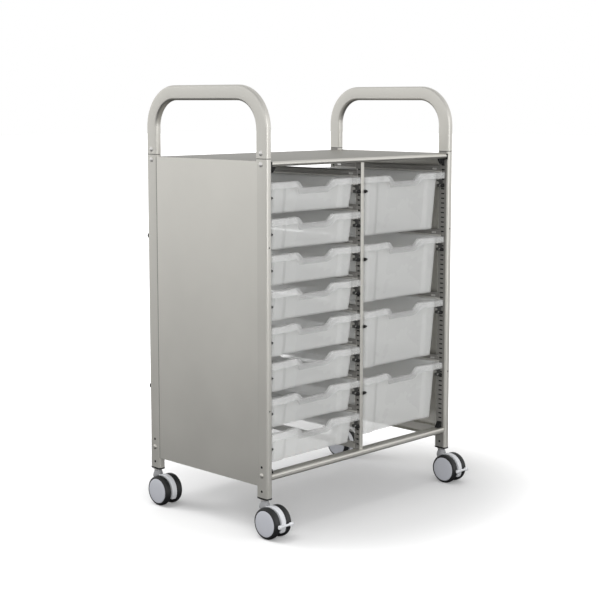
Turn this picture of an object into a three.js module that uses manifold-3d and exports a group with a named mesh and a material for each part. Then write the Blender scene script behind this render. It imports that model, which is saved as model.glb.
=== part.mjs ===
// Tray storage trolley: a tube frame on castors with two columns of pull-out trays.
// Millimetres, +Z up, columns side by side along X, trays pull out toward -Y.

import * as THREE from 'three';
import { mergeVertices } from 'three/addons/utils/BufferGeometryUtils.js';
import Module from 'manifold-3d';

const wasm = await Module();
wasm.setup();

// ---- driving dimensions ----

const GAP = 0.3;                 // clearance between neighbouring parts
const POST_X = 331.85;           // post centres from the middle of the trolley
const POST_Y = 193.6;
const TUBE_W = 18.5;             // post and handle tube, across the trolley
const TUBE_D = 36;               // the same tube, front to back
const TUBE_R = 7.4;
const TUBE_WALL = 1.5;
const POST_Z = [91, 881];
const HANDLE_Z = [882.5, 1050];  // handle tube, from the joint to its top
const HANDLE_BEND = 83;          // centreline radius
const SHEET = 1.2;
const PANEL_Z = [117.6, 876.5];
const PANEL_LAP = 2.7;           // the panels reach this far over the posts' rounded corners
const RAIL_H = 27;               // side rails welded between the posts
const SHELF_TOP = 875.5;
const SHELF_LIP = 12;            // height of its rolled front and back edges
const SHELF_ROLL = 6;            // and their outer radius
const SHELF_Y = 209;
const FOOT_RAIL_Z = [131, 145];
const FOOT_RAIL_D = 30;
const DIVIDER_W = 11;
const DIVIDER_Y = [182, 200];    // each upright, from its back to its front face
const DIVIDER_BAR = 14;          // height of the bars that join the uprights

const PITCH = 84;                // one shallow tray level
const TRAY_W = 312;
const TRAY_D = 427;
const TRAY_TOP = 827.7;          // rim of the highest tray
const TRAY_BACK = 4.8;           // the trays stand this far back of the middle
const SHALLOW = 75;
const DEEP = 150;
const RIM_OVERHANG = 13;
const RIM_SKIRT = 15.8;
const TRAY_WALL = 1.8;
const NOTCH = [41, 62, 16];      // half width of its floor, of its mouth, and its depth
const EAR = [86, 105, 5];        // an end steps forward between these half widths, by this much
const RUNNER_Y = 190;            // the runners end here, front and back
const RUNNER_Z = [-38.7, 14.8];  // their lower and upper edges, from the tray's rim
const FLANGE_TOP = TRAY_TOP - RIM_SKIRT - GAP;

const WHEEL_R = 37.5;
const WHEEL_X = [8.5, 27.5];     // each wheel, from the castor's middle plane
const TRAIL = 27;                // the axle sits this far from the swivel axis
const AXLE_R = 4;
const AXLE_BORE = 4.1;
const HOUSING_R = 38;
const HOUSING_W = 14;
const PEDAL_PIN = 30;            // brake pin, forward of the axle
const PEDAL_BAR = [40, 46];      // brake bar, forward of the axle

const POST_IN = POST_X - TUBE_W / 2;
const COLUMN_X = (POST_IN + DIVIDER_W / 2) / 2;
const FRONT = -POST_Y - TRAIL - PEDAL_BAR[1];
const SHIFT_Y = -(FRONT + TRAY_D / 2 + TRAY_BACK) / 2;

// ---- geometry helpers ----

function weld(geometry) {
  const bare = new THREE.BufferGeometry();
  bare.setAttribute('position', geometry.getAttribute('position').clone());
  if (geometry.index) bare.setIndex(geometry.index.clone());
  return mergeVertices(bare, 1e-4);
}

function signedVolume(points, faces) {
  let total = 0;
  for (const [a, b, c] of faces) {
    const [p, q, r] = [points[a], points[b], points[c]];
    total += p[0] * (q[1] * r[2] - q[2] * r[1]);
    total += p[1] * (q[2] * r[0] - q[0] * r[2]);
    total += p[2] * (q[0] * r[1] - q[1] * r[0]);
  }
  return total;
}

// Skins rings of equal length. A loop joins the last ring to the first; otherwise both ends are capped.
function skin(rings, loop) {
  const n = rings[0].length;
  const points = rings.flat();
  const faces = [];
  const bands = loop ? rings.length : rings.length - 1;
  for (let i = 0; i < bands; i += 1) {
    const here = i * n;
    const next = ((i + 1) % rings.length) * n;
    for (let j = 0; j < n; j += 1) {
      const k = (j + 1) % n;
      faces.push([here + j, here + k, next + k], [here + j, next + k, next + j]);
    }
  }
  const last = (rings.length - 1) * n;
  for (let j = 1; !loop && j < n - 1; j += 1) {
    faces.push([0, j + 1, j], [last, last + j, last + j + 1]);
  }
  const outward = signedVolume(points, faces) > 0;
  const geometry = new THREE.BufferGeometry();
  geometry.setAttribute('position', new THREE.Float32BufferAttribute(points.flat(), 3));
  geometry.setIndex(faces.map((f) => (outward ? f : [f[0], f[2], f[1]])).flat());
  return weld(geometry);
}

const AXES = {
  x: new THREE.Matrix4().makeBasis(
    new THREE.Vector3(0, 1, 0), new THREE.Vector3(0, 0, 1), new THREE.Vector3(1, 0, 0)),
  y: new THREE.Matrix4().makeBasis(
    new THREE.Vector3(1, 0, 0), new THREE.Vector3(0, 0, 1), new THREE.Vector3(0, -1, 0)),
  z: new THREE.Matrix4(),
};

// Extrudes an outline along an axis. The outline is (y, z) for x, (x, z) for y and (x, y) for z.
function extrude(outline, axis, from, to, hole = null) {
  const shape = new THREE.Shape(outline.map(([u, v]) => new THREE.Vector2(u, v)));
  if (hole) shape.holes.push(new THREE.Path(hole.map(([u, v]) => new THREE.Vector2(u, v))));
  const geometry = new THREE.ExtrudeGeometry(shape, { depth: to - from, bevelEnabled: false });
  geometry.applyMatrix4(AXES[axis]);
  const start = { x: [from, 0, 0], y: [0, to, 0], z: [0, 0, from] }[axis];
  return weld(geometry.translate(...start));
}

function rectangle(u0, u1, v0, v1) {
  return [[u0, v0], [u1, v0], [u1, v1], [u0, v1]];
}

function circle(u, v, r, segments = 24) {
  return Array.from({ length: segments }, (_, i) => {
    const a = (2 * Math.PI * i) / segments;
    return [u + r * Math.cos(a), v + r * Math.sin(a)];
  });
}

// Rounded rectangle about (u, v), with half sizes a and b.
function rounded(u, v, a, b, r, segments = 3) {
  const points = [];
  for (let corner = 0; corner < 4; corner += 1) {
    const su = corner === 0 || corner === 3 ? 1 : -1;
    const sv = corner < 2 ? 1 : -1;
    for (let i = 0; i <= segments; i += 1) {
      const angle = (Math.PI / 2) * (corner + i / segments);
      points.push([u + su * (a - r) + r * Math.cos(angle), v + sv * (b - r) + r * Math.sin(angle)]);
    }
  }
  return points;
}

function toManifold(geometry) {
  return new wasm.Manifold(new wasm.Mesh({
    numProp: 3,
    vertProperties: new Float32Array(geometry.getAttribute('position').array),
    triVerts: new Uint32Array(geometry.index.array),
  }));
}

function fromManifold(manifold) {
  const mesh = manifold.getMesh();
  const geometry = new THREE.BufferGeometry();
  geometry.setAttribute('position', new THREE.Float32BufferAttribute(mesh.vertProperties, 3));
  geometry.setIndex(Array.from(mesh.triVerts));
  return geometry;
}

function combine(added, removed = []) {
  let result = toManifold(added[0]);
  for (const geometry of added.slice(1)) result = result.add(toManifold(geometry));
  for (const geometry of removed) result = result.subtract(toManifold(geometry));
  return fromManifold(result);
}

// ---- frame ----

function tube(x, y, z0, z1) {
  const outer = rounded(x, y, TUBE_W / 2, TUBE_D / 2, TUBE_R);
  const inner = rounded(x, y, TUBE_W / 2 - TUBE_WALL, TUBE_D / 2 - TUBE_WALL, TUBE_R - TUBE_WALL);
  return extrude(outer, 'z', z0, z1, inner);
}

// A channel between the two posts of one side, its open face toward the trays.
function sideRail(side, z0) {
  const outer = side * (POST_X + TUBE_W / 2 - SHEET - GAP);
  const inner = side * (POST_IN + 1.5);
  const web = outer - side * TUBE_WALL;
  const z1 = z0 + RAIL_H;
  const outline = [
    [outer, z0], [inner, z0], [inner, z0 + TUBE_WALL], [web, z0 + TUBE_WALL],
    [web, z1 - TUBE_WALL], [inner, z1 - TUBE_WALL], [inner, z1], [outer, z1],
  ];
  const reach = POST_Y - TUBE_D / 2 + TUBE_WALL / 2;
  return extrude(outline, 'y', -reach, reach);
}

function sideFrame(side) {
  const posts = [-POST_Y, POST_Y].map((y) => tube(side * POST_X, y, ...POST_Z));
  const rails = [PANEL_Z[0], PANEL_Z[1] - RAIL_H - 5.5].map((z) => sideRail(side, z));
  return combine([...posts, ...rails]);
}

function sidePanel(side) {
  const outer = side * (POST_X + TUBE_W / 2);
  const inner = outer - side * SHEET;
  const reach = POST_Y - TUBE_D / 2 + PANEL_LAP;
  const [x0, x1] = [Math.min(outer, inner), Math.max(outer, inner)];
  return extrude(rectangle(-reach, reach, ...PANEL_Z), 'x', x0, x1);
}

function handle(side) {
  const top = HANDLE_Z[1] - TUBE_D / 2;
  const stations = [[-POST_Y, HANDLE_Z[0], 0]];
  for (const [sign, y] of [[-1, -POST_Y + HANDLE_BEND], [1, POST_Y - HANDLE_BEND]]) {
    for (let i = 0; i <= 6; i += 1) {
      const turn = (Math.PI / 2) * (sign < 0 ? i / 6 : 1 - i / 6);
      const dy = sign * HANDLE_BEND * Math.cos(turn);
      const dz = HANDLE_BEND * Math.sin(turn);
      stations.push([y + dy, top - HANDLE_BEND + dz, sign < 0 ? turn : Math.PI - turn]);
    }
  }
  stations.push([POST_Y, HANDLE_Z[0], Math.PI]);
  const ring = (inset, [y, z, turn]) => {
    const section = rounded(0, 0, TUBE_W / 2 - inset, TUBE_D / 2 - inset, TUBE_R - inset, 2);
    return section.map(([u, v]) => [
      side * POST_X + u, y + v * Math.cos(turn), z - v * Math.sin(turn)]);
  };
  const outer = stations.map((station) => ring(0, station));
  const inner = stations.map((station) => ring(TUBE_WALL, station)).reverse();
  return skin([...outer, ...inner], true);
}

// A pan with rolled lips at the front and the back. Between the posts its top reaches out to the side panels.
function topShelf() {
  const outer = [];
  const inner = [];
  const turns = [0, 30, 60, 90].map((degrees) => (degrees * Math.PI) / 180);
  const [y, z] = [SHELF_Y - SHELF_ROLL, SHELF_TOP - SHELF_ROLL];
  for (const [side, order] of [[1, turns], [-1, [...turns].reverse()]]) {
    for (const turn of order) {
      const at = (r) => [side * (y + r * Math.cos(turn)), z + r * Math.sin(turn)];
      outer.push(at(SHELF_ROLL));
      inner.push(at(SHELF_ROLL - SHEET));
    }
  }
  const foot = SHELF_TOP - SHELF_LIP;
  const outline = [
    [SHELF_Y - SHEET, foot], [SHELF_Y, foot], ...outer,
    [-SHELF_Y, foot], [-SHELF_Y + SHEET, foot], ...inner.reverse(),
  ];
  const pan = extrude(outline, 'x', -POST_IN + GAP, POST_IN - GAP);
  const reach = POST_Y - TUBE_D / 2 - 2 * GAP;
  const side = POST_X + TUBE_W / 2 - SHEET - GAP;
  const plate = extrude(rectangle(-side, side, -reach, reach), 'z', SHELF_TOP - SHEET + 0.1, SHELF_TOP - 0.1);
  return combine([pan, plate]);
}

function footRail(side) {
  const z = (FOOT_RAIL_Z[0] + FOOT_RAIL_Z[1]) / 2;
  const half = (FOOT_RAIL_Z[1] - FOOT_RAIL_Z[0]) / 2;
  const outer = rounded(side * POST_Y, z, FOOT_RAIL_D / 2, half, half - 0.5);
  const inner = rounded(side * POST_Y, z, FOOT_RAIL_D / 2 - TUBE_WALL, half - TUBE_WALL, half - 2);
  return extrude(outer, 'x', -POST_IN + GAP, POST_IN - GAP, inner);
}

// Open frame between the columns: two channel uprights joined at the top and the bottom.
function dividerFrame() {
  const half = DIVIDER_W / 2;
  const z0 = FOOT_RAIL_Z[1] + GAP;
  const z1 = SHELF_TOP - SHEET - GAP;
  const [back, front] = DIVIDER_Y;
  const uprights = [-1, 1].map((side) => extrude([
    [-half, side * back], [-half, side * front], [half, side * front], [half, side * back],
    [half - SHEET, side * back], [half - SHEET, side * (front - SHEET)],
    [SHEET - half, side * (front - SHEET)], [SHEET - half, side * back],
  ], 'z', z0, z1));
  const width = half - SHEET / 2;
  const bars = [z0 + SHEET, z1 - SHEET - DIVIDER_BAR].map((z) =>
    extrude(rectangle(-width, width, z, z + DIVIDER_BAR), 'y', -back - 0.5, back + 0.5));
  return combine([...uprights, ...bars]);
}

// A folded strip with the flange that carries a tray's rim. Face is the wall it is screwed to.
function runner(face, direction, drop) {
  const u = (d) => face + direction * d;
  const [low, high] = RUNNER_Z.map((z) => TRAY_TOP + z - drop);
  const flange = FLANGE_TOP - drop;
  const outline = [
    [u(GAP), low], [u(1.9), low], [u(1.9), flange - 1.6], [u(13.5), flange - 1.6],
    [u(13.5), flange], [u(1.9), flange], [u(1.9), high], [u(GAP), high],
  ];
  return extrude(outline, 'y', -RUNNER_Y, RUNNER_Y);
}

// ---- trays ----

function notchDrop(x) {
  const [floor, mouth, depth] = NOTCH;
  return Math.abs(x) <= floor + 0.01 ? depth : Math.abs(x) >= mouth - 0.01 ? 0 : depth / 2;
}

// One closed outline of a tray. Its two ends are set back between the ears, and dip at the notches.
function trayRing(a, b, r, z, dips) {
  const [floor, mouth] = NOTCH;
  const [inner, outer, step] = EAR;
  const marks = [-outer, -inner, -mouth, -floor, floor, mouth, inner, outer];
  const plan = rounded(0, 0, a, b, r, 2);
  plan.splice(9, 0, ...marks.map((x) => [x, -b]));
  plan.splice(3, 0, ...[...marks].reverse().map((x) => [x, b]));
  return plan.map(([x, y]) => {
    if (Math.abs(Math.abs(y) - b) > 0.01) return [x, y, z];
    const back = Math.abs(x) <= inner + 0.01 ? step : 0;
    return [x, y - Math.sign(y) * back, z - (dips ? notchDrop(x) : 0)];
  });
}

function tray(height) {
  const [a, b] = [TRAY_W / 2, TRAY_D / 2];
  const [taperA, taperB] = height > 100 ? [6, 10] : [4, 7];
  const wallA = a - RIM_OVERHANG;
  const wallB = b - RIM_OVERHANG - 3;
  const t = TRAY_WALL;
  const rings = [
    trayRing(wallA - taperA, wallB - taperB, 16, -height, false),
    trayRing(wallA, wallB, 17, -t, true),
    trayRing(a - t, b - t, 9, -t, true),
    trayRing(a - t, b - t, 9, -RIM_SKIRT, true),
    trayRing(a, b, 11, -RIM_SKIRT, true),
    trayRing(a, b, 11, 0, true),
    trayRing(wallA - t, wallB - t, 15, 0, true),
    trayRing(wallA - taperA - t, wallB - taperB - t, 14, t - height, false),
  ];
  return skin(rings, false);
}

// ---- castors ----

// Body of a castor about its swivel axis, standing on the floor, axle trailing toward -Y.
function castorHousing(braked) {
  const arc = Array.from({ length: 10 }, (_, i) => {
    const angle = ((-32 + 16 * i) * Math.PI) / 180;
    return [-TRAIL - HOUSING_R * Math.cos(angle), WHEEL_R + HOUSING_R * Math.sin(angle)];
  });
  const outline = [...arc, [9, 78], [11, 62], [-TRAIL + 18, 30], [-TRAIL, 17], [-TRAIL - 22, 15]];
  const half = HOUSING_W / 2;
  const stem = extrude(circle(0, 0, 5, 16), 'z', 80, 122);
  const neck = extrude(circle(0, 0, 12, 20), 'z', 70, 86.7);
  const axle = extrude(circle(-TRAIL, WHEEL_R, AXLE_R), 'x', -WHEEL_X[1] + 1.6, WHEEL_X[1] - 1.6);
  const body = combine([extrude(outline, 'x', -half, half), neck, stem, axle]);
  if (!braked) return body;
  const y = -TRAIL - PEDAL_PIN;
  const slot = extrude(rectangle(y - 14, y + 7, WHEEL_R - 13, WHEEL_R + 8), 'x', -2.9, 2.9);
  const pin = extrude(circle(y, WHEEL_R, 1.5, 16), 'x', -half + 1, half - 1);
  return combine([combine([body], [slot]), pin]);
}

// One wheel, its axle along X and its blind bore facing the castor's middle.
function wheel(side) {
  const [inner, outer] = WHEEL_X;
  const profile = [
    [0, outer], [31, outer], [34.5, outer - 1], [WHEEL_R, outer - 4.5], [WHEEL_R, inner + 3.5],
    [35, inner], [AXLE_BORE, inner], [AXLE_BORE, outer - 1.2], [0, outer - 1.2],
  ];
  const lathe = new THREE.LatheGeometry(profile.map(([r, x]) => new THREE.Vector2(r, x)), 24);
  lathe.rotateZ(-side * Math.PI / 2).translate(0, -TRAIL, WHEEL_R);
  return repaired(lathe);
}

// Drops the zero-area triangles at a lathe's poles and turns the faces outward.
function repaired(geometry) {
  const welded = weld(geometry);
  const at = welded.getAttribute('position');
  const points = Array.from({ length: at.count }, (_, i) => [at.getX(i), at.getY(i), at.getZ(i)]);
  const index = Array.from(welded.index.array);
  let faces = [];
  for (let i = 0; i < index.length; i += 3) faces.push(index.slice(i, i + 3));
  faces = faces.filter(([a, b, c]) => a !== b && b !== c && c !== a);
  const outward = signedVolume(points, faces) > 0;
  welded.setIndex(faces.map((f) => (outward ? f : [f[0], f[2], f[1]])).flat());
  return welded;
}

// A cross bar on a tongue that turns on the pin in the housing's slot.
function brakePedal() {
  const [near, far] = PEDAL_BAR.map((d) => -TRAIL - d);
  const y = -TRAIL - PEDAL_PIN;
  const z = WHEEL_R;
  const bar = extrude(rounded((near + far) / 2, z, 3, 3.5, 1.5, 2), 'x', -22.5, 22.5);
  const arm = extrude(rectangle(near - 2, y, z - 3, z + 3), 'x', -2.5, 2.5);
  const eye = extrude(circle(y, z, 4, 16), 'x', -2.5, 2.5);
  const bore = extrude(circle(y, z, 1.62, 16), 'x', -5, 5);
  return combine([bar, arm, eye], [bore]);
}

// ---- assembly ----

const MATERIALS = {
  frame_paint: new THREE.MeshStandardMaterial({ color: 0xbebbb4, roughness: 0.5, metalness: 0.2 }),
  panel_paint: new THREE.MeshStandardMaterial({ color: 0xb9b6af, roughness: 0.5, metalness: 0.2 }),
  runner_steel: new THREE.MeshStandardMaterial({ color: 0x8a8983, roughness: 0.45, metalness: 0.4 }),
  tray_plastic: new THREE.MeshStandardMaterial({ color: 0xd4d6d4, roughness: 0.35, metalness: 0 }),
  castor_plastic: new THREE.MeshStandardMaterial({ color: 0xa9adb0, roughness: 0.45, metalness: 0 }),
  tyre: new THREE.MeshStandardMaterial({ color: 0x2d2f30, roughness: 0.8, metalness: 0 }),
};

const group = new THREE.Group();

function place(name, geometry, material, x = 0, y = 0, z = 0) {
  const placed = geometry.index ? geometry.clone() : weld(geometry);
  placed.translate(x, y + SHIFT_Y, z);
  placed.computeVertexNormals();
  const mesh = new THREE.Mesh(placed, MATERIALS[material]);
  mesh.name = name;
  group.add(mesh);
}

function addRunners(label, face, direction, step, count) {
  for (let level = 0; level < count; level += 1) {
    place(`runner_${label}_${level + 1}`, runner(face, direction, step * level), 'runner_steel');
  }
}

for (const [label, side] of [['left', -1], ['right', 1]]) {
  place(`side_frame_${label}`, sideFrame(side), 'frame_paint');
  place(`side_panel_${label}`, sidePanel(side), 'panel_paint');
  place(`handle_${label}`, handle(side), 'frame_paint');
}
place('top_shelf', topShelf(), 'panel_paint');
place('foot_rail_front', footRail(-1), 'frame_paint');
place('foot_rail_back', footRail(1), 'frame_paint');
place('divider_frame', dividerFrame(), 'frame_paint');

addRunners('a', -POST_IN, 1, PITCH, 8);
addRunners('b', -DIVIDER_W / 2, -1, PITCH, 8);
addRunners('c', DIVIDER_W / 2, 1, 2 * PITCH, 4);
addRunners('d', POST_IN, -1, 2 * PITCH, 4);

function addTrays(label, height, x, step, count) {
  for (let level = 0; level < count; level += 1) {
    const z = TRAY_TOP - step * level;
    place(`${label}_tray_${level + 1}`, tray(height), 'tray_plastic', x, TRAY_BACK, z);
  }
}

addTrays('shallow', SHALLOW, -COLUMN_X, PITCH, 8);
addTrays('deep', DEEP, COLUMN_X, 2 * PITCH, 4);

for (const [label, sideX, sideY] of [['fl', -1, -1], ['fr', 1, -1], ['bl', -1, 1], ['br', 1, 1]]) {
  const [x, y] = [sideX * POST_X, sideY * POST_Y];
  const braked = sideY < 0;
  place(`castor_housing_${label}`, castorHousing(braked), 'castor_plastic', x, y);
  place(`wheel_${label}_left`, wheel(-1), 'tyre', x, y);
  place(`wheel_${label}_right`, wheel(1), 'tyre', x, y);
  if (braked) place(`brake_pedal_${label}`, brakePedal(), 'castor_plastic', x, y);
}

export default group;
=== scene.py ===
"""Looks for the storage tray trolley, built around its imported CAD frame.

Sizes are in millimetres in the trolley's own design coordinates: the floor is z 0, X runs across the two
columns, trays pull out toward -Y, and the origin is midway between the four posts.
"""

import math

import bmesh
import bpy
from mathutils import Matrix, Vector


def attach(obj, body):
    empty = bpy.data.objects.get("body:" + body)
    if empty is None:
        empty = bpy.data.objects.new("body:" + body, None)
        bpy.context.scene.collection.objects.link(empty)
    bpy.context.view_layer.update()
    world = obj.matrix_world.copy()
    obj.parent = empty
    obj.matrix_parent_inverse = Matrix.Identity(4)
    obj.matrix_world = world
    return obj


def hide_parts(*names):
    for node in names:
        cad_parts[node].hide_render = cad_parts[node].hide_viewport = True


# ---- driving dimensions ----

MM = 0.001
SHIFT_Y = 24.15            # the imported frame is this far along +Y from the design origin
POST_X, POST_Y = 331.85, 193.6
TUBE_W, TUBE_D, TUBE_R, TUBE_WALL = 18.5, 36.0, 5.8, 1.5    # across, front to back, corner, wall
POST_Z = (91.0, 881.0)
HANDLE_Z = (882.5, 1050.0)
HANDLE_BEND = 83.0
POST_IN = POST_X - TUBE_W / 2
POST_OUT = POST_X + TUBE_W / 2
POST_EDGE = POST_Y - TUBE_D / 2    # the side of a post that a panel meets
PANEL_Z = (117.6, 876.5)
SEAM = 1.4                 # between a panel's back edge and the back post
SHEET = 1.2
RAIL_H = 27.0
RAIL_DROP = 5.5            # from a panel's top edge to the rail behind it
SHELF_TOP = 875.5
SHELF_LIP = 12.0
SHELF_Y = 209.0
SHELF_CURL = 6.0           # how far the lip's foot runs back under the shelf
FOOT_RAIL_Z = (131.0, 145.0)
FOOT_RAIL_D = 30.0
DIVIDER_HALF = 5.5
DIVIDER_Y = (182.0, 200.0)
DIVIDER_BAR = 14.0
SLOT = (12.0, 3.6, 12.5)   # width, height and pitch of the runner slots
SLOT_Z = (152.0, 852.0)
PITCH = 84.0
COLUMN_X = (POST_IN + DIVIDER_HALF) / 2
TRAY_TOP = 827.7
TRAY_BACK = 4.8
TRAY_HALF = (156.0, 213.5)
RIM_OVERHANG = 13.0
RIM_SKIRT = 15.8
TRAY_WALL = 1.8
NOTCH = (41.0, 62.0, 16.0)  # half width of its floor, half width of its mouth, depth
EAR = (86.0, 105.0, 5.0)    # where the end of a tray steps forward to its ears, and by how much
RUNNER_Y = 190.0
KNOB_Y = {1: 200.5, -1: 196.0}    # by the side, +x or -x, on which a runner stands out from its wall
KNOB_Z = -36.0              # from the top of the tray, as all of a runner's heights
TAB_Y = 170.0
WHEEL_R = 37.5
TRAIL = 27.0
PEDAL_REACH = 43.0          # from a castor's axle to its pedal
GAP = 0.3
BOLT = (6.2, 2.6)           # radius and height of the bolts on the posts' outer faces
BOLT_DROP = 12.0            # from a post's or a handle's end to its bolt
LOW_BOLT_Z = 144.0
SIDE_HOLES_Z = (164.0, 106.0)
END_HOLES_Z = (298.0, 679.0)    # holes in the front faces, and the bumpers on the back faces
LENS = 81.64

# ---- points and faces: every part is (points, faces, its material index or one index per face) ----

AXIS_MAP = {
    "x": lambda u, v, w: (w, u, v),
    "y": lambda u, v, w: (u, w, v),
    "z": lambda u, v, w: (u, v, w),
}


def rounded(u, v, a, b, r, segments=8):
    """Rounded rectangle about (u, v) with half sizes a and b. Its ends are at the flat on its +u side."""
    points = []
    for corner, (su, sv) in enumerate(((1, 1), (-1, 1), (-1, -1), (1, -1))):
        for i in range(segments + 1):
            angle = math.pi / 2 * (corner + i / segments)
            points.append((u + su * (a - r) + r * math.cos(angle), v + sv * (b - r) + r * math.sin(angle)))
    return points


def skin(rings, loop=False, index=0):
    """Joins rings of equal length. A loop joins the last one to the first; otherwise both ends get a cap."""
    n = len(rings[0])
    faces = []
    for i in range(len(rings) if loop else len(rings) - 1):
        here, there = i * n, (i + 1) % len(rings) * n
        for j in range(n):
            k = (j + 1) % n
            faces.append((here + j, here + k, there + k, there + j))
    if not loop:
        last = (len(rings) - 1) * n
        faces += [tuple(range(n)), tuple(range(last, last + n))]
    return [p for ring in rings for p in ring], faces, index


def prism(outline, axis, start, end, index=0):
    """An outline pushed along an axis: it is (y, z) for x, (x, z) for y and (x, y) for z."""
    place = AXIS_MAP[axis]
    return skin([[place(u, v, w) for u, v in outline] for w in (start, end)], index=index)


def pipe(outer, inner, axis, start, end, index=0):
    """A prism with a hole right through it."""
    place = AXIS_MAP[axis]
    rings = [[place(u, v, start) for u, v in outer], [place(u, v, end) for u, v in outer],
             [place(u, v, end) for u, v in inner], [place(u, v, start) for u, v in inner]]
    return skin(rings, loop=True, index=index)


def box(x0, x1, y0, y1, z0, z1, index=0):
    return prism([(x0, y0), (x1, y0), (x1, y1), (x0, y1)], "z", z0, z1, index)


def lathe(profile, axis, centre, segments=48, index=0):
    """Turns a profile of (radius, distance along the axis) about an axis through centre."""
    place = AXIS_MAP[axis]
    rings = []
    for r, w in profile:
        steps = segments if r > 1e-6 else 1
        ring = []
        for i in range(steps):
            t = 2 * math.pi * i / segments
            x, y, z = place(r * math.cos(t), r * math.sin(t), w)
            ring.append((x + centre[0], y + centre[1], z + centre[2]))
        rings.append(ring)
    starts = [sum(len(ring) for ring in rings[:i]) for i in range(len(rings))]
    faces = []
    closed = len(rings[0]) > 1 and len(rings[-1]) > 1
    pairs = [(i, (i + 1) % len(rings)) for i in range(len(rings) if closed else len(rings) - 1)]
    for a, b in pairs:
        for j in range(segments):
            k = (j + 1) % segments
            corners = [starts[a] + j % len(rings[a]), starts[a] + k % len(rings[a]),
                       starts[b] + k % len(rings[b]), starts[b] + j % len(rings[b])]
            face = tuple(dict.fromkeys(corners))
            if len(face) > 2:
                faces.append(face)
    return [p for ring in rings for p in ring], faces, index


def weld(polygons, index=0):
    """Points and faces of polygons that share corners."""
    seen = {}
    faces = []
    for polygon in polygons:
        face = []
        for p in polygon:
            key = tuple(round(c, 4) for c in p)
            face.append(seen.setdefault(key, len(seen)))
        faces.append(tuple(face))
    return list(seen), faces, index


def slotted_strip(width, z0, z1, place, thickness=TUBE_WALL, index=0):
    """A strip with a ladder of round-ended slots. place turns (across, depth, z) into a point."""
    wide, tall, pitch = SLOT
    half = width / 2
    levels = [SLOT_Z[0] + pitch * i for i in range(int((SLOT_Z[1] - SLOT_Z[0]) / pitch) + 1)]
    levels = [z0] + levels + [z1]
    polygons = []
    for low, high in zip(levels, levels[1:]):
        cut = low >= SLOT_Z[0] and high <= SLOT_Z[1] + 0.1
        middle = (low + high) / 2
        for side in (-1, 1):
            edge = [(0, low), (0, high), (side * half, high), (side * half, low)]
            if cut:
                turns = [math.pi / 2 * (1 - i / 4) for i in range(9)]
                reach = wide / 2 - tall / 2
                arc = [(side * (reach + tall / 2 * math.cos(t)), middle + tall / 2 * math.sin(t))
                       for t in turns]
                arc = [(0, middle + tall / 2)] + arc + [(0, middle - tall / 2)]
                edge = [(0, low)] + arc[::-1] + [(0, high), (side * half, high), (side * half, low)]
                for p, q in zip(arc, arc[1:]):
                    polygons.append([place(p[0], 0, p[1]), place(q[0], 0, q[1]),
                                     place(q[0], thickness, q[1]), place(p[0], thickness, p[1])])
            for depth in (0, thickness):
                polygons.append([place(u, depth, z) for u, z in edge])
            polygons.append([place(side * half, d, z) for d, z in
                             ((0, low), (0, high), (thickness, high), (thickness, low))])
    for z in (z0, z1):
        for side in (-1, 1):
            polygons.append([place(0, 0, z), place(side * half, 0, z),
                             place(side * half, thickness, z), place(0, thickness, z)])
    return weld(polygons, index)


# ---- objects ----

def mesh_of(name, parts, materials, sharp=38.0):
    """One mesh, in metres, smooth except where its faces meet at more than the sharp angle.

    A part's index picks its material. It is one number, or a list with one for each face.
    """
    bm = bmesh.new()
    for points, faces, index in parts:
        verts = [bm.verts.new([c * MM for c in p]) for p in points]
        looks = index if isinstance(index, list) else [index] * len(faces)
        for face, look in zip(faces, looks):
            bm.faces.new([verts[i] for i in face]).material_index = look
    bmesh.ops.recalc_face_normals(bm, faces=bm.faces)
    for face in bm.faces:
        face.smooth = True
    for edge in bm.edges:
        edge.smooth = edge.calc_face_angle(0.0) < math.radians(sharp)
    mesh = bpy.data.meshes.new(name)
    bm.to_mesh(mesh)
    bm.free()
    for material in materials:
        mesh.materials.append(material)
    return mesh


def piece(name, mesh, body, at=(0, 0, 0), replaces=(), bevel=0.0):
    """Puts a mesh in the scene at a design point, riding on a body."""
    obj = bpy.data.objects.new(name, mesh)
    obj.location = (at[0] * MM, (at[1] + SHIFT_Y) * MM, at[2] * MM)
    bpy.context.scene.collection.objects.link(obj)
    if bevel:
        edge = obj.modifiers.new("edge", "BEVEL")
        edge.width = bevel * MM
        edge.segments = 2
        edge.limit_method = "ANGLE"
        edge.angle_limit = math.radians(38)
        flat = obj.modifiers.new("flat", "WEIGHTED_NORMAL")
        flat.keep_sharp = True
    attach(obj, body)
    if replaces:
        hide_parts(*replaces)
    return obj


# ---- materials ----

def shader(name, colour, roughness, metallic=0.0, **sockets):
    """A Principled material and its node tree."""
    material = bpy.data.materials.new(name)
    material.use_nodes = True
    tree = material.node_tree
    bsdf = tree.nodes["Principled BSDF"]
    bsdf.inputs["Base Color"].default_value = (*colour, 1)
    bsdf.inputs["Roughness"].default_value = roughness
    bsdf.inputs["Metallic"].default_value = metallic
    for key, value in sockets.items():
        bsdf.inputs[key.replace("_", " ")].default_value = value
    return material, tree, bsdf


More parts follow.
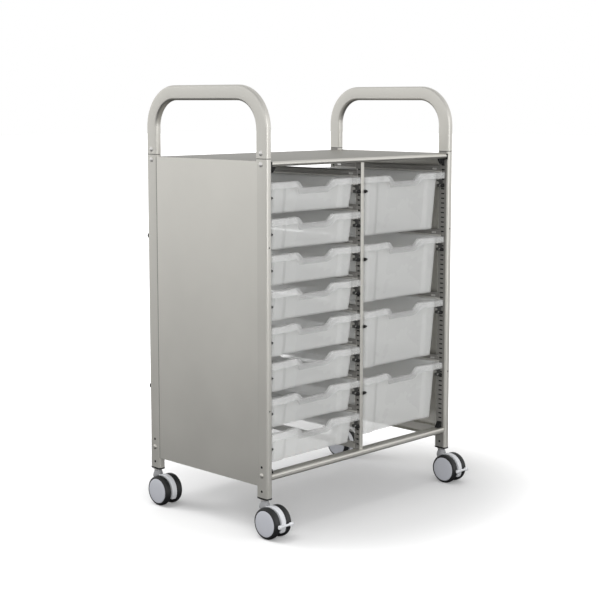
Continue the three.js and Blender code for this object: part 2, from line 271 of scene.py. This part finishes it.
def mottle(tree, bsdf, colour, spread, scale, roughness):
    """Slow cloudy change of colour and of roughness over the surface."""
    place = tree.nodes.new("ShaderNodeTexCoord")
    noise = tree.nodes.new("ShaderNodeTexNoise")
    noise.inputs["Scale"].default_value = scale
    noise.inputs["Detail"].default_value = 4
    ramp = tree.nodes.new("ShaderNodeValToRGB")
    ramp.color_ramp.elements[0].position = 0.3
    ramp.color_ramp.elements[1].position = 0.7
    ramp.color_ramp.elements[0].color = (*[c * (1 - spread) for c in colour], 1)
    ramp.color_ramp.elements[1].color = (*[min(1, c * (1 + spread)) for c in colour], 1)
    gloss = tree.nodes.new("ShaderNodeMapRange")
    gloss.inputs["To Min"].default_value = roughness - 0.04
    gloss.inputs["To Max"].default_value = roughness + 0.04
    tree.links.new(place.outputs["Object"], noise.inputs["Vector"])
    tree.links.new(noise.outputs["Fac"], ramp.inputs["Fac"])
    tree.links.new(noise.outputs["Fac"], gloss.inputs["Value"])
    tree.links.new(ramp.outputs["Color"], bsdf.inputs["Base Color"])
    tree.links.new(gloss.outputs["Result"], bsdf.inputs["Roughness"])


def grain(tree, bsdf, scale, strength, distance=0.0002):
    """Fine bumps, such as powder coat or moulded plastic."""
    place = tree.nodes.new("ShaderNodeTexCoord")
    noise = tree.nodes.new("ShaderNodeTexNoise")
    noise.inputs["Scale"].default_value = scale
    noise.inputs["Detail"].default_value = 2
    bump = tree.nodes.new("ShaderNodeBump")
    bump.inputs["Strength"].default_value = strength
    bump.inputs["Distance"].default_value = distance
    tree.links.new(place.outputs["Object"], noise.inputs["Vector"])
    tree.links.new(noise.outputs["Fac"], bump.inputs["Height"])
    tree.links.new(bump.outputs["Normal"], bsdf.inputs["Normal"])


def surface(name, colour, roughness, metallic=0.0, spread=0.03, cloud=6.0, fine=900.0, bump=0.1, **sockets):
    """A material with cloudy colour and a fine grain."""
    material, tree, bsdf = shader(name, colour, roughness, metallic, **sockets)
    mottle(tree, bsdf, colour, spread, cloud, roughness)
    grain(tree, bsdf, fine, bump)
    return material


PAINT = (0.70, 0.686, 0.64)
MATERIALS = {
    "frame": surface("frame_paint", PAINT, 0.42, 0.88),
    "panel": surface("panel_paint", (0.755, 0.74, 0.69), 0.38, 0.9),
    # the shelf top: a darker copy of the frame paint, painted shade on its upward face
    "shelf": surface("shelf_painted_shade", (0.268, 0.26, 0.236), 0.5, 0.6),
    "ladder": surface("ladder_steel", (0.23, 0.224, 0.21), 0.5, 0.3),
    "runner": surface("runner_steel", (0.56, 0.55, 0.52), 0.45, 0.3),
    # the bar along a runner's top: partly its own darker finish, partly painted shade from the tray above
    "bar": surface("runner_bar_dark_and_shade", (0.25, 0.244, 0.23), 0.42, 0.4),
    "clip": surface("clip_plastic", (0.06, 0.06, 0.058), 0.45, spread=0.08, fine=600.0),
    "black": surface("black_plastic", (0.014, 0.014, 0.014), 0.5, spread=0.1, fine=600.0,
                     Specular_IOR_Level=0.2),
    "steel": surface("bright_steel", (0.72, 0.71, 0.69), 0.3, 0.7, fine=1500.0, bump=0.05),
    "tray": surface("tray_plastic", (0.845, 0.85, 0.84), 0.28, spread=0.015, fine=300.0, bump=0.04,
                    Alpha=0.41, IOR=1.4),
    "rim": surface("tray_rim_plastic", (0.88, 0.885, 0.875), 0.28, spread=0.015, fine=300.0, bump=0.04,
                   Alpha=0.24, IOR=1.4),
    "tyre": surface("tyre_rubber", (0.012, 0.0125, 0.013), 0.5, spread=0.12, fine=700.0, bump=0.15),
    "disc": surface("wheel_disc", (0.46, 0.47, 0.505), 0.4, spread=0.02),
    "castor": surface("castor_plastic", (0.60, 0.61, 0.63), 0.35, spread=0.02),
    # a darker copy of the castor plastic: painted shade on the neck under the post's foot
    "neck": surface("neck_painted_shade", (0.24, 0.243, 0.25), 0.4, spread=0.02),
    "pedal": surface("pedal_plastic", (0.66, 0.67, 0.69), 0.36, spread=0.02),
}


def using(*names):
    return [MATERIALS[n] for n in names]


# ---- frame ----

def post_parts(x, y, inward):
    """A flat-sided oval tube whose face toward the trays has the ladder of slots. A black sheet a little
    behind the slots is painted shade seen through them.
    """
    a, b, r, t = TUBE_W / 2, TUBE_D / 2, TUBE_R, TUBE_WALL
    outer = rounded(0, 0, a, b, r)
    inner = rounded(0, 0, a - t, b - t, r - t)
    channel = [(x + inward * u, y + v) for u, v in outer + inner[::-1]]
    face = x + inward * a
    strip = slotted_strip(2 * (b - r), *POST_Z, lambda u, d, z: (face - inward * d, y + u, z), index=1)
    # a black sheet inside the tube: painted shade behind the slots
    x0, x1 = sorted((face - inward * 2 * t, face - inward * (2 * t + 0.4)))
    shade_backing = box(x0, x1, y - b + r + 1, y + b - r - 1, POST_Z[0] + 2, POST_Z[1] - 2, 2)
    return [prism(channel, "z", *POST_Z), strip, shade_backing]


def side_rail(side, z0):
    outer = side * (POST_OUT - SHEET - GAP)
    inner = side * (POST_IN + 1.5)
    web = outer - side * TUBE_WALL
    z1 = z0 + RAIL_H
    t = TUBE_WALL
    outline = [(outer, z0), (inner, z0), (inner, z0 + t), (web, z0 + t),
               (web, z1 - t), (inner, z1 - t), (inner, z1), (outer, z1)]
    return prism(outline, "y", -POST_EDGE, POST_EDGE)


def seam_shade_strip(side):
    """A dark strip at the bottom of the groove between a panel's back edge and the back post: painted shade
    in the groove.
    """
    x0, x1 = sorted((side * (POST_OUT - SHEET - 0.05), side * (POST_OUT - SHEET - 3)))
    return box(x0, x1, POST_EDGE - SEAM - 2, POST_EDGE + 3.4, *PANEL_Z, 1)


def side_frame(label, side):
    """Two posts and the two rails between them."""
    parts = []
    for y in (-POST_Y, POST_Y):
        parts += post_parts(side * POST_X, y, -side)
    # a dark strip in the groove behind the panel: painted shade
    parts.append(seam_shade_strip(side))
    for z in (PANEL_Z[0], PANEL_Z[1] - RAIL_H - RAIL_DROP):
        parts.append(side_rail(side, z))
    mesh = mesh_of(f"side_frame_{label}_mesh", parts, using("frame", "ladder", "black"))
    piece(f"side_frame_{label}_visual", mesh, "frame", replaces=[f"side_frame_{label}"])


def side_panel(label, side):
    """A flat sheet. It laps the rounded corners of the front post and stops short of the back post."""
    x0, x1 = sorted((side * POST_OUT, side * (POST_OUT - SHEET)))
    parts = [box(x0, x1, -POST_EDGE - TUBE_R, POST_EDGE - SEAM, *PANEL_Z)]
    mesh = mesh_of(f"side_panel_{label}_mesh", parts, using("panel"))
    piece(f"side_panel_{label}_visual", mesh, "frame", replaces=[f"side_panel_{label}"],
          bevel=0.4)


def handle(label, side):
    """The posts' tube, bent over from the front post to the back one."""
    top = HANDLE_Z[1] - TUBE_D / 2
    steps = 20
    stations = [(-POST_Y, HANDLE_Z[0], 0.0)]
    for sign in (-1, 1):
        for i in range(steps + 1):
            turn = math.pi / 2 * (i / steps if sign < 0 else 1 - i / steps)
            y = sign * (POST_Y - HANDLE_BEND + HANDLE_BEND * math.cos(turn))
            z = top - HANDLE_BEND + HANDLE_BEND * math.sin(turn)
            stations.append((y, z, turn if sign < 0 else math.pi - turn))
    stations.append((POST_Y, HANDLE_Z[0], math.pi))

    def ring(inset, station):
        y, z, turn = station
        section = rounded(0, 0, TUBE_W / 2 - inset, TUBE_D / 2 - inset, TUBE_R - inset)
        return [(side * POST_X + u, y + v * math.cos(turn), z - v * math.sin(turn)) for u, v in section]

    rings = [ring(0, s) for s in stations] + [ring(TUBE_WALL, s) for s in reversed(stations)]
    mesh = mesh_of(f"handle_{label}_mesh", [skin(rings, loop=True)], using("frame"))
    piece(f"handle_{label}_visual", mesh, "frame", replaces=[f"handle_{label}"])


def joint_collar(label, x, y):
    outline = rounded(x, y, TUBE_W / 2 - 0.35, TUBE_D / 2 - 0.35, TUBE_R - 0.3)
    parts = [prism(outline, "z", POST_Z[1], HANDLE_Z[0])]
    mesh = mesh_of(f"collar_{label}_mesh", parts, using("black"))
    piece(f"collar_{label}", mesh, "frame")


def top_shelf():
    """A folded sheet with a rolled lip at the front and back, and wings out to the side panels."""
    outer, inner = [], []
    r = SHELF_LIP / 2
    turns = list(range(-90, 91, 10))
    for angle, sign in [(a, 1) for a in turns] + [(a, -1) for a in reversed(turns)]:
        t = math.radians(angle)
        outer.append((sign * (SHELF_Y - r + r * math.cos(t)), SHELF_TOP - r + r * math.sin(t)))
        inner.append((sign * (SHELF_Y - r + (r - SHEET) * math.cos(t)),
                      SHELF_TOP - r + (r - SHEET) * math.sin(t)))
    curl = SHELF_Y - r - SHELF_CURL
    foot = SHELF_TOP - SHELF_LIP
    outline = ([(curl, foot)] + outer + [(-curl, foot), (-curl, foot + SHEET)] + inner[::-1]
               + [(curl, foot + SHEET)])
    points, faces, _ = prism(outline, "x", GAP - POST_IN, POST_IN - GAP)
    lip = [f for f in faces if len(f) == 4 and all(abs(points[i][1]) > SHELF_Y - r for i in f)]
    top = [f for f in faces if f not in lip]
    # the shelf's top takes the darker shelf colour, painted shade; the lip keeps the lighter panel paint
    parts = [(points, top, 0), (points, lip, 1)]
    reach = POST_EDGE - 2 * GAP
    for side in (-1, 1):
        x0, x1 = sorted((side * (POST_OUT - SHEET - GAP), side * (POST_IN - 1)))
        parts.append(box(x0, x1, -reach, reach, SHELF_TOP - SHEET + 0.1, SHELF_TOP - 0.1))
    mesh = mesh_of("top_shelf_mesh", parts, using("shelf", "panel"))
    piece("top_shelf_visual", mesh, "frame", replaces=["top_shelf"])


def foot_rail(label, side):
    z = sum(FOOT_RAIL_Z) / 2
    half = (FOOT_RAIL_Z[1] - FOOT_RAIL_Z[0]) / 2
    outer = rounded(side * POST_Y, z, FOOT_RAIL_D / 2, half, half - 2.5)
    inner = rounded(side * POST_Y, z, FOOT_RAIL_D / 2 - 1.5, half - 1.5, half - 3)
    parts = [pipe(outer, inner, "x", GAP - POST_IN, POST_IN - GAP)]
    mesh = mesh_of(f"foot_rail_{label}_mesh", parts, using("frame"))
    piece(f"foot_rail_{label}_visual", mesh, "frame", replaces=[f"foot_rail_{label}"])


def divider():
    """A front and a back upright with slots on both faces, joined at the top and the bottom. A black sheet
    inside each upright is painted shade seen through the slots.
    """
    half = DIVIDER_HALF
    back, front = DIVIDER_Y
    z0, z1 = FOOT_RAIL_Z[1] + GAP, SHELF_TOP - SHEET - GAP
    parts = []
    for side in (-1, 1):
        y = side * (back + front) / 2
        for face in (-1, 1):
            parts.append(slotted_strip(front - back - 2.4, z0, z1,
                                       lambda u, d, z, f=face, y=y: (f * (half - d), y + u, z), 1.2, 1))
        for edge in (front - 0.6, back + 0.6):
            outline = rounded(0, side * edge, half, 0.6, 0.55, 3)
            parts.append(prism(outline, "z", z0, z1))
        # a black sheet between an upright's two faces: painted shade behind the slots
        shade_backing = sorted((side * (back + 2), side * (front - 2)))
        parts.append(box(-0.3, 0.3, *shade_backing, z0 + 2, z1 - 2, 2))
    for z in (z0, z1 - DIVIDER_BAR):
        parts.append(box(-half, half, -back, back, z, z + DIVIDER_BAR))
    mesh = mesh_of("divider_mesh", parts, using("frame", "ladder", "black"))
    piece("divider_visual", mesh, "frame", replaces=["divider_frame"])


# ---- runners ----

def runner_parts(direction):
    """A folded strip with a bar along its top, and a clip, knob, dot and tab near each end.

    The wall's face is at x 0 and the top of the tray at z 0. It is built toward +x or -x.
    """
    def d(points):
        return [(direction * u, z) for u, z in points]

    flange = -RIM_SKIRT - GAP
    web = d([(GAP, -38.7), (1.7, -38.7), (1.7, flange - 1.4), (12.6, flange - 1.4), (12.6, flange - 4.0),
             (13.8, flange - 4.0), (13.8, flange), (1.7, flange), (1.7, 2.6), (GAP, 2.6)])
    bar = d([(GAP, 2.7), (1.7, 2.7), (4.4, 4.0), (4.4, 6.4), (3.4, 7.6), (3.4, 10.8), (4.4, 12.0),
             (4.4, 14.4), (1.7, 17.0), (GAP, 17.0)])
    # the bar takes the dark bar colour: partly its own finish, partly painted shade
    parts = [prism(web, "y", -RUNNER_Y, RUNNER_Y, 0), prism(bar, "y", -RUNNER_Y, RUNNER_Y, 3)]
    for end in (-1, 1):
        plate = [(end * 195, -40), (end * 195, -20), (end * 176, -20), (end * 176, -24.5),
                 (end * 184, -26.5), (end * 184, -31), (end * 176, -33), (end * 176, -40)]
        x0, x1 = sorted((direction * 1.8, direction * 3.6))
        parts.append(prism(plate, "x", x0, x1, 1))
        knob = [(0, direction * 12.8), (1.6, direction * 12.2), (3.0, direction * 9.0),
                (4.2, direction * 5.0), (4.2, direction * 0.4), (0, direction * 0.4)]
        parts.append(lathe(knob, "x", (0, end * KNOB_Y[direction], KNOB_Z), 16, 4))
        dot = [(0, direction * 5.2), (2.0, direction * 5.0), (2.8, direction * 4.3),
               (3.0, direction * 3.4), (0, direction * 3.4)]
        parts.append(lathe(dot, "x", (0, end * 189, KNOB_Z), 20, 2))
        tab = rounded(end * TAB_Y, 8.0, 7, 2.4, 2.3, 5)
        x0, x1 = sorted((direction * 4.0, direction * 5.2))
        parts.append(prism(tab, "x", x0, x1, 2))
    return parts


def runners():
    sets = [("a", -POST_IN, 1, PITCH, 8), ("b", -DIVIDER_HALF, -1, PITCH, 8),
            ("c", DIVIDER_HALF, 1, 2 * PITCH, 4), ("d", POST_IN, -1, 2 * PITCH, 4)]
    looks = ("runner", "clip", "steel", "bar", "black")
    meshes = {d: mesh_of(f"runner_mesh_{d}", runner_parts(d), using(*looks))
              for d in (-1, 1)}
    for label, face, direction, step, count in sets:
        for level in range(count):
            name = f"runner_{label}_{level + 1}"
            piece(f"{name}_visual", meshes[direction], "frame", at=(face, 0, TRAY_TOP - step * level),
                  replaces=[name])


# ---- trays ----

def ease(t):
    t = min(1.0, max(0.0, t))
    return t * t * (3 - 2 * t)


def notch_share(x, spread=0.0):
    """0 outside the notch's mouth, 1 on its floor."""
    floor, mouth, _ = NOTCH
    return ease((mouth + 2 + spread - abs(x)) / (mouth - floor + 4))


def tray_ring(a, b, r, z, dips=1.0, spread=0.0, tuck=0.0):
    """One outline of a tray. Its ends are set back between the ears, and dip and tuck in at the notch."""
    inner, outer, step = EAR
    marks = [0, 13, 26, *range(37, 80, 3), *range(83, 109, 3)]
    xs = sorted({s * m for m in marks for s in (-1, 1)})
    outline = rounded(0, 0, a, b, r)
    quarter = len(outline) // 4
    corners = [outline[i * quarter:(i + 1) * quarter] for i in range(4)]
    plan = corners[0] + [(x, b) for x in reversed(xs)] + corners[1]
    plan += corners[2] + [(x, -b) for x in xs] + corners[3]
    ring = []
    for x, y in plan:
        end = abs(abs(y) - b) < 0.01
        back = step * ease((outer - abs(x)) / (outer - inner)) if end else 0.0
        back += tuck * notch_share(x, spread) if end else 0.0
        drop = NOTCH[2] * notch_share(x, spread) * dips if end else 0.0
        ring.append((x, y - math.copysign(1, y) * back, z - drop))
    return ring


def tray_parts(height):
    """Rings from the underside of the floor, up the outside, over the rim and down the inside.

    The rim's faces have the second material.
    """
    a, b = TRAY_HALF
    taper_a, taper_b = (6.0, 10.0) if height > 100 else (4.0, 7.0)
    wall_a, wall_b = a - RIM_OVERHANG, b - RIM_OVERHANG - 3
    t = TRAY_WALL

    def wall(inset, share, z, r, dips=0.0):
        return tray_ring(wall_a - inset - taper_a * share, wall_b - inset - taper_b * share, r, z, dips)

    def rim(inset, z, r, spread=0.0, tuck=0.0):
        return tray_ring(a - inset, b - inset, r, z, 1.0, spread, tuck)

    outside = [
        wall(12, 1, -height + 1.5, 8),
        wall(9, 1, -height + 0.2, 8),
        wall(6, 1, -height, 9),
        wall(3.4, 1, -height + 0.6, 10),
        wall(1.4, 1, -height + 2.0, 12),
        wall(0.3, 1, -height + 4.4, 13),
        wall(0, 0.93, -height + 8, 16),
        wall(0, 0.5, -height * 0.55 - 8, 17),
        wall(0, 0.05, -RIM_SKIRT - 4, 17, 1.0),
        wall(0, 0, -5, 17, 1.0),
        wall(-0.6, 0, -3.2, 17, 1.0),
        wall(-2.2, 0, -2.0, 17, 1.0),
    ]
    lip = [
        rim(t + 2.4, -t, 9, 0, 2),
        rim(t + 0.6, -t - 0.8, 9, 1, 4),
        rim(t, -t - 2.6, 9, 3, 7),
        rim(t, -RIM_SKIRT + 0.5, 9, 7, 11.5),
        rim(t / 2, -RIM_SKIRT, 10, 7, 12),
        rim(0, -RIM_SKIRT + 0.6, 11, 7, 12.2),
        rim(0, -3.2, 11, 3, 7),
        rim(0.8, -1.1, 10, 1, 4),
        rim(2.6, 0, 9, 0, 2),
    ]
    inside = [
        wall(-3.6, 0, 0, 17, 1.0),
        wall(-0.6, 0, -0.9, 17, 1.0),
        wall(1.0, 0, -2.8, 14, 1.0),
        wall(t, 0, -6, 14, 1.0),
        wall(t, 0.05, -RIM_SKIRT - 4, 14, 1.0),
        wall(t, 0.5, -height * 0.55 - 8, 14),
        wall(t, 0.93, -height + 8.6, 13),
        wall(t + 0.6, 1, -height + 5.4, 12),
        wall(t + 2.6, 1, -height + 3.2, 10),
        wall(t + 6, 1, -height + t + 0.3, 9),
        wall(14, 1, -height + t + 1.4, 8),
    ]
    points, faces, _ = skin(outside + lip + inside)
    first = len(outside) * len(lip[0])
    last = first + len(lip) * len(lip[0])
    looks = [1 if first <= min(face) < last else 0 for face in faces]
    return [(points, faces, looks)]


def trays():
    sets = [("shallow", 75.0, -COLUMN_X, PITCH, 8), ("deep", 150.0, COLUMN_X, 2 * PITCH, 4)]
    for label, height, x, step, count in sets:
        mesh = mesh_of(f"{label}_tray_mesh", tray_parts(height), using("tray", "rim"), sharp=50)
        for level in range(count):
            name = f"{label}_tray_{level + 1}"
            piece(f"{name}_visual", mesh, name, at=(x, TRAY_BACK, TRAY_TOP - step * level),
                  replaces=[name])


# ---- castors ----

def castor_housing_parts():
    """The block between the wheels, and the neck above it."""
    arc = [math.radians(-32 + 4 * i) for i in range(37)]
    outline = [(-TRAIL - 38 * math.cos(t), WHEEL_R + 38 * math.sin(t)) for t in arc]
    outline += [(9, 77), (11.2, 70), (10.4, 62), (-TRAIL + 22, 36), (-TRAIL + 17, 26), (-TRAIL + 9, 19),
                (-TRAIL, 16.5), (-TRAIL - 10, 17), (-TRAIL - 18, 20), (-TRAIL - 26, 19)]
    neck = [(0, 66), (13.0, 66), (12.6, 71), (11.4, 76), (9.8, 80), (9.0, 83), (8.4, 84), (0, 84)]
    # the neck takes the darker neck colour, painted shade
    return [prism(outline, "x", -7, 7), lathe(neck, "z", (0, 0, 0), 40, 1)]


def castor(label, x, y, braked):
    """Housing, stem and axle, the insert in the post's foot, two wheels and, at the front, a brake."""
    body = f"castor_{label}"
    mesh = mesh_of(f"{body}_mesh", castor_housing_parts(), using("castor", "neck"))
    piece(f"{body}_housing", mesh, body, at=(x, y, 0), replaces=[f"castor_housing_{label}"],
          bevel=1.1)
    stem = [(0, 84), (5.4, 84), (5.4, 84.6), (11.0, 84.8), (11.6, 85.5), (11.0, 86.2), (5.4, 86.4),
            (5.4, 120), (0, 120)]
    axle = [(0, -26), (4, -26), (4, 26), (0, 26)]
    parts = [lathe(stem, "z", (0, 0, 0), 32), lathe(axle, "x", (0, -TRAIL, WHEEL_R), 24)]
    piece(f"{body}_stem", mesh_of(f"{body}_stem_mesh", parts, using("steel")), body, at=(x, y, 0))
    insert = [prism(rounded(0, 0, TUBE_W / 2 + 0.5, TUBE_D / 2 + 0.5, TUBE_R + 0.4), "z", 87.2, POST_Z[0])]
    mesh = mesh_of(f"foot_insert_{label}_mesh", insert, using("black"))
    piece(f"foot_insert_{label}", mesh, "frame", at=(x, y, 0), bevel=0.8)
    for name, side in (("left", -1), ("right", 1)):
        wheel(f"wheel_{label}_{name}", x, y, side)
    if braked:
        brake(label, x, y)


def wheel(name, x, y, side):
    tyre = [(4.1, 8.8), (30, 8.8), (33.4, 9.3), (35.8, 10.8), (37.1, 13), (37.5, 16), (37.5, 19.5),
            (37.1, 22.4), (35.9, 24.9), (34.1, 26.6), (32.6, 27.1), (31.5, 26.9), (31.1, 26.0), (4.1, 26.0)]
    disc = [(30.7, 26.1), (30.8, 26.9), (30.2, 27.4), (28.6, 27.7), (14, 28.3), (0, 28.5), (0, 26.1)]
    centre = (0, -TRAIL, WHEEL_R)
    tyre_parts = [lathe([(r, side * w) for r, w in tyre], "x", centre, 64)]
    disc_parts = [lathe([(r, side * w) for r, w in disc], "x", centre, 64)]
    piece(f"{name}_tyre", mesh_of(f"{name}_tyre_mesh", tyre_parts, using("tyre")), name, at=(x, y, 0),
          replaces=[name])
    piece(f"{name}_disc", mesh_of(f"{name}_disc_mesh", disc_parts, using("disc")), name, at=(x, y, 0))


def brake(label, x, y):
    """A cross bar with a pad at each end, on an arm out of the middle of the castor."""
    y_bar, z = -TRAIL - PEDAL_REACH, WHEEL_R
    pad = rounded(y_bar, z, 3.6, 4.6, 3, 4)
    arm = [(y_bar + 1, z - 3), (y_bar + 13, z - 3), (y_bar + 13, z + 3), (y_bar + 1, z + 3)]
    parts = [prism(rounded(y_bar, z, 2.4, 2.8, 2.2, 4), "x", -14, 14),
             prism(pad, "x", -22.5, -13),
             prism(pad, "x", 13, 22.5),
             prism(arm, "x", -2.5, 2.5)]
    mesh = mesh_of(f"brake_{label}_mesh", parts, using("pedal"))
    name = f"brake_pedal_{label}"
    piece(f"{name}_visual", mesh, name, at=(x, y, 0), replaces=[name], bevel=0.8)


# ---- fasteners and small trim ----

def dome(radius, height, direction, centre, axis="x", index=0):
    """A round-headed bolt standing out of a face along an axis."""
    profile = [(0, direction * height)]
    for i in range(1, 7):
        t = math.pi / 2 * i / 6
        profile.append((radius * 0.86 * math.sin(t), direction * (height * 0.3 + height * 0.7 * math.cos(t))))
    profile += [(radius, direction * height * 0.22), (radius, -direction * 0.2), (0, -direction * 0.2)]
    return lathe(profile, axis, centre, 32, index)


def socket(radius, direction, centre, axis="x", index=0):
    """A black disc nearly flush with its face: painted shade standing in for the inside of a hole."""
    profile = [(0, 0.25), (radius, 0.25), (radius, -0.6), (0, -0.6)]
    return lathe([(r, direction * w) for r, w in profile], axis, centre, 24, index)


def corner_bracket(sx, sy):
    """The cap between the shelf's lip and a post, and the bracket with its bolt under the shelf."""
    x0, x1 = sorted((sx * (POST_IN - 0.2), sx * (POST_IN - 3)))
    cap = box(x0, x1, *sorted((sy * (SHELF_Y + 0.6), sy * 200)), 861, 875.3)
    outline = [(POST_IN - 0.2, 863), (298, 863), (299, 859), (306, 850), (POST_IN - 0.2, 847)]
    plate = prism([(sx * x, z) for x, z in outline], "y", *sorted((sy * 199, sy * 195)))
    return [cap, plate, dome(4.6, 3.2, sy, (sx * 311, sy * 199, 855), "y")]


def foot_bracket(sx, sy):
    """The block with its bolt in the corner between the foot rail and a post."""
    seat = FOOT_RAIL_Z[1] + 0.2
    outline = [(POST_IN - 0.2, seat), (309, seat), (311, 151), (POST_IN - 3, 161), (POST_IN - 0.2, 161)]
    block = prism([(sx * x, z) for x, z in outline], "y", *sorted((sy * 200, sy * 188)))
    return [block, dome(4.8, 3, sy, (sx * 316.5, sy * 200, 152), "y")]


def trim():
    """Bolts and holes on the posts, the bumpers behind, and the black brackets in the corners."""
    bolts, holes, black = [], [], []
    for sx in (-1, 1):
        for sy in (-1, 1):
            y = sy * POST_Y
            for z, look in ((POST_Z[1] - BOLT_DROP, 0), (HANDLE_Z[0] + BOLT_DROP, 0), (LOW_BOLT_Z, 1)):
                bolts.append(dome(*BOLT, sx, (sx * POST_OUT, y, z), index=look))
            for z in SIDE_HOLES_Z:
                holes.append(socket(3.1, sx, (sx * POST_OUT, y, z)))
            holes.append(socket(3.1, -sx, (sx * POST_IN, y, SIDE_HOLES_Z[1])))
            for z in END_HOLES_Z:
                place = (sx * POST_X, sy * (POST_Y + TUBE_D / 2), z)
                if sy < 0:
                    holes.append(socket(1.8, sy, place, "y"))
                else:
                    black.append(dome(8, 8, sy, place, "y"))
            black += corner_bracket(sx, sy) + foot_bracket(sx, sy)
    piece("frame_bolts", mesh_of("bolt_mesh", bolts, using("steel", "frame")), "frame")
    # black discs where the holes are: painted shade inside the holes
    piece("frame_hole_shade_discs", mesh_of("hole_shade_disc_mesh", holes, using("black")), "frame")
    piece("frame_brackets", mesh_of("bracket_mesh", black, using("black")), "frame")


# ---- stage ----

def area_light(name, place, target, size, power, mirrored=False):
    data = bpy.data.lights.new(name, "AREA")
    data.shape = "SQUARE"
    data.size = size
    data.energy = power
    light = bpy.data.objects.new(name, data)
    light.location = place
    light.visible_glossy = mirrored
    aim = Vector(target) - Vector(place)
    light.rotation_euler = aim.to_track_quat("-Z", "Y").to_euler()
    bpy.context.scene.collection.objects.link(light)


def studio_world():
    """White to the camera; as light it is brightest at the horizon and dim below it and overhead."""
    world = bpy.data.worlds.new("studio")
    bpy.context.scene.world = world
    world.use_nodes = True
    nodes, links = world.node_tree.nodes, world.node_tree.links
    place = nodes.new("ShaderNodeTexCoord")
    split = nodes.new("ShaderNodeSeparateXYZ")
    height = nodes.new("ShaderNodeMapRange")
    height.inputs["From Min"].default_value = -1.0
    ramp = nodes.new("ShaderNodeValToRGB")
    stops = ((0.0, 0.02), (0.38, 0.05), (0.47, 1.04), (0.7, 0.88), (1.0, 0.44))
    for i, (position, value) in enumerate(stops):
        stop = ramp.color_ramp.elements[i] if i < 2 else ramp.color_ramp.elements.new(position)
        stop.position = position
        stop.color = (value, value, value, 1)
    path = nodes.new("ShaderNodeLightPath")
    plain = nodes.new("ShaderNodeBackground")
    plain.inputs["Color"].default_value = (1, 1, 1, 1)
    mix = nodes.new("ShaderNodeMixShader")
    links.new(place.outputs["Generated"], split.inputs["Vector"])
    links.new(split.outputs["Z"], height.inputs["Value"])
    links.new(height.outputs["Result"], ramp.inputs["Fac"])
    links.new(ramp.outputs["Color"], nodes["Background"].inputs["Color"])
    links.new(path.outputs["Is Camera Ray"], mix.inputs["Fac"])
    links.new(nodes["Background"].outputs["Background"], mix.inputs[1])
    links.new(plain.outputs["Background"], mix.inputs[2])
    links.new(mix.outputs["Shader"], nodes["World Output"].inputs["Surface"])


def floor_material():
    """Matt white that glows more with distance, so that the floor meets the white background unseen."""
    material, tree, bsdf = shader("floor_white", (0.8, 0.8, 0.8), 0.9)
    bsdf.inputs["Specular IOR Level"].default_value = 0
    bsdf.inputs["Emission Color"].default_value = (1, 1, 1, 1)
    place = tree.nodes.new("ShaderNodeTexCoord")
    oval = tree.nodes.new("ShaderNodeVectorMath")
    oval.operation = "MULTIPLY"
    oval.inputs[1].default_value = (1.0, 1.2, 1.0)
    reach = tree.nodes.new("ShaderNodeVectorMath")
    reach.operation = "LENGTH"
    glow = tree.nodes.new("ShaderNodeMapRange")
    glow.interpolation_type = "SMOOTHSTEP"
    for socket, value in (("From Min", 0.4), ("From Max", 1.15), ("To Min", 0.06), ("To Max", 0.95)):
        glow.inputs[socket].default_value = value
    tree.links.new(place.outputs["Object"], oval.inputs[0])
    tree.links.new(oval.outputs["Vector"], reach.inputs[0])
    tree.links.new(reach.outputs["Value"], glow.inputs["Value"])
    tree.links.new(glow.outputs["Result"], bsdf.inputs["Emission Strength"])
    return material


def stage():
    bpy.ops.mesh.primitive_plane_add(size=60, location=(0, 0, 0))
    floor = bpy.context.object
    floor.name = "floor"
    floor.visible_diffuse = False
    floor.visible_glossy = False
    floor.data.materials.append(floor_material())
    studio_world()
    area_light("key", (-0.9, 0.4, 3.6), (0, 0, 0.5), 2.0, 40)
    area_light("fill", (-2.3, -2.3, 1.1), (0, 0, 0.6), 1.6, 48)
    area_light("front", (0.3, -3.3, 1.0), (0, 0, 0.6), 2.0, 20, mirrored=True)
    area_light("back", (-1.2, 2.6, 1.5), (0, 0, 0.5), 1.5, 40)
    bpy.context.scene.view_settings.view_transform = "Standard"


def camera():
    data = bpy.data.cameras.new("camera")
    data.lens = LENS
    data.sensor_width = 36
    data.shift_x = 0.0020
    data.shift_y = -0.06
    obj = bpy.data.objects.new("camera", data)
    obj.location = (-2.4937, -2.4153 + SHIFT_Y * MM, 1.0148)
    obj.rotation_euler = (math.radians(90 - 6.877), 0, math.radians(-45.675))
    bpy.context.scene.collection.objects.link(obj)
    bpy.context.scene.camera = obj


# ---- assembly ----

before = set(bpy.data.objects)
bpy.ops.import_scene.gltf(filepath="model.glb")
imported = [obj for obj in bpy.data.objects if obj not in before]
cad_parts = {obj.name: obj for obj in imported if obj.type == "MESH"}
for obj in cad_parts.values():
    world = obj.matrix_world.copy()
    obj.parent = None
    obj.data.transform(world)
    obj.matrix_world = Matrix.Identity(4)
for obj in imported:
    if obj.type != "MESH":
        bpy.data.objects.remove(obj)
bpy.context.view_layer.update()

for label, side in (("left", -1), ("right", 1)):
    side_frame(label, side)
    side_panel(label, side)
    handle(label, side)
top_shelf()
foot_rail("front", -1)
foot_rail("back", 1)
divider()
runners()
trays()
for label, sx, sy in (("fl", -1, -1), ("fr", 1, -1), ("bl", -1, 1), ("br", 1, 1)):
    joint_collar(label, sx * POST_X, sy * POST_Y)
    castor(label, sx * POST_X, sy * POST_Y, braked=sy < 0)
trim()
stage()
camera()
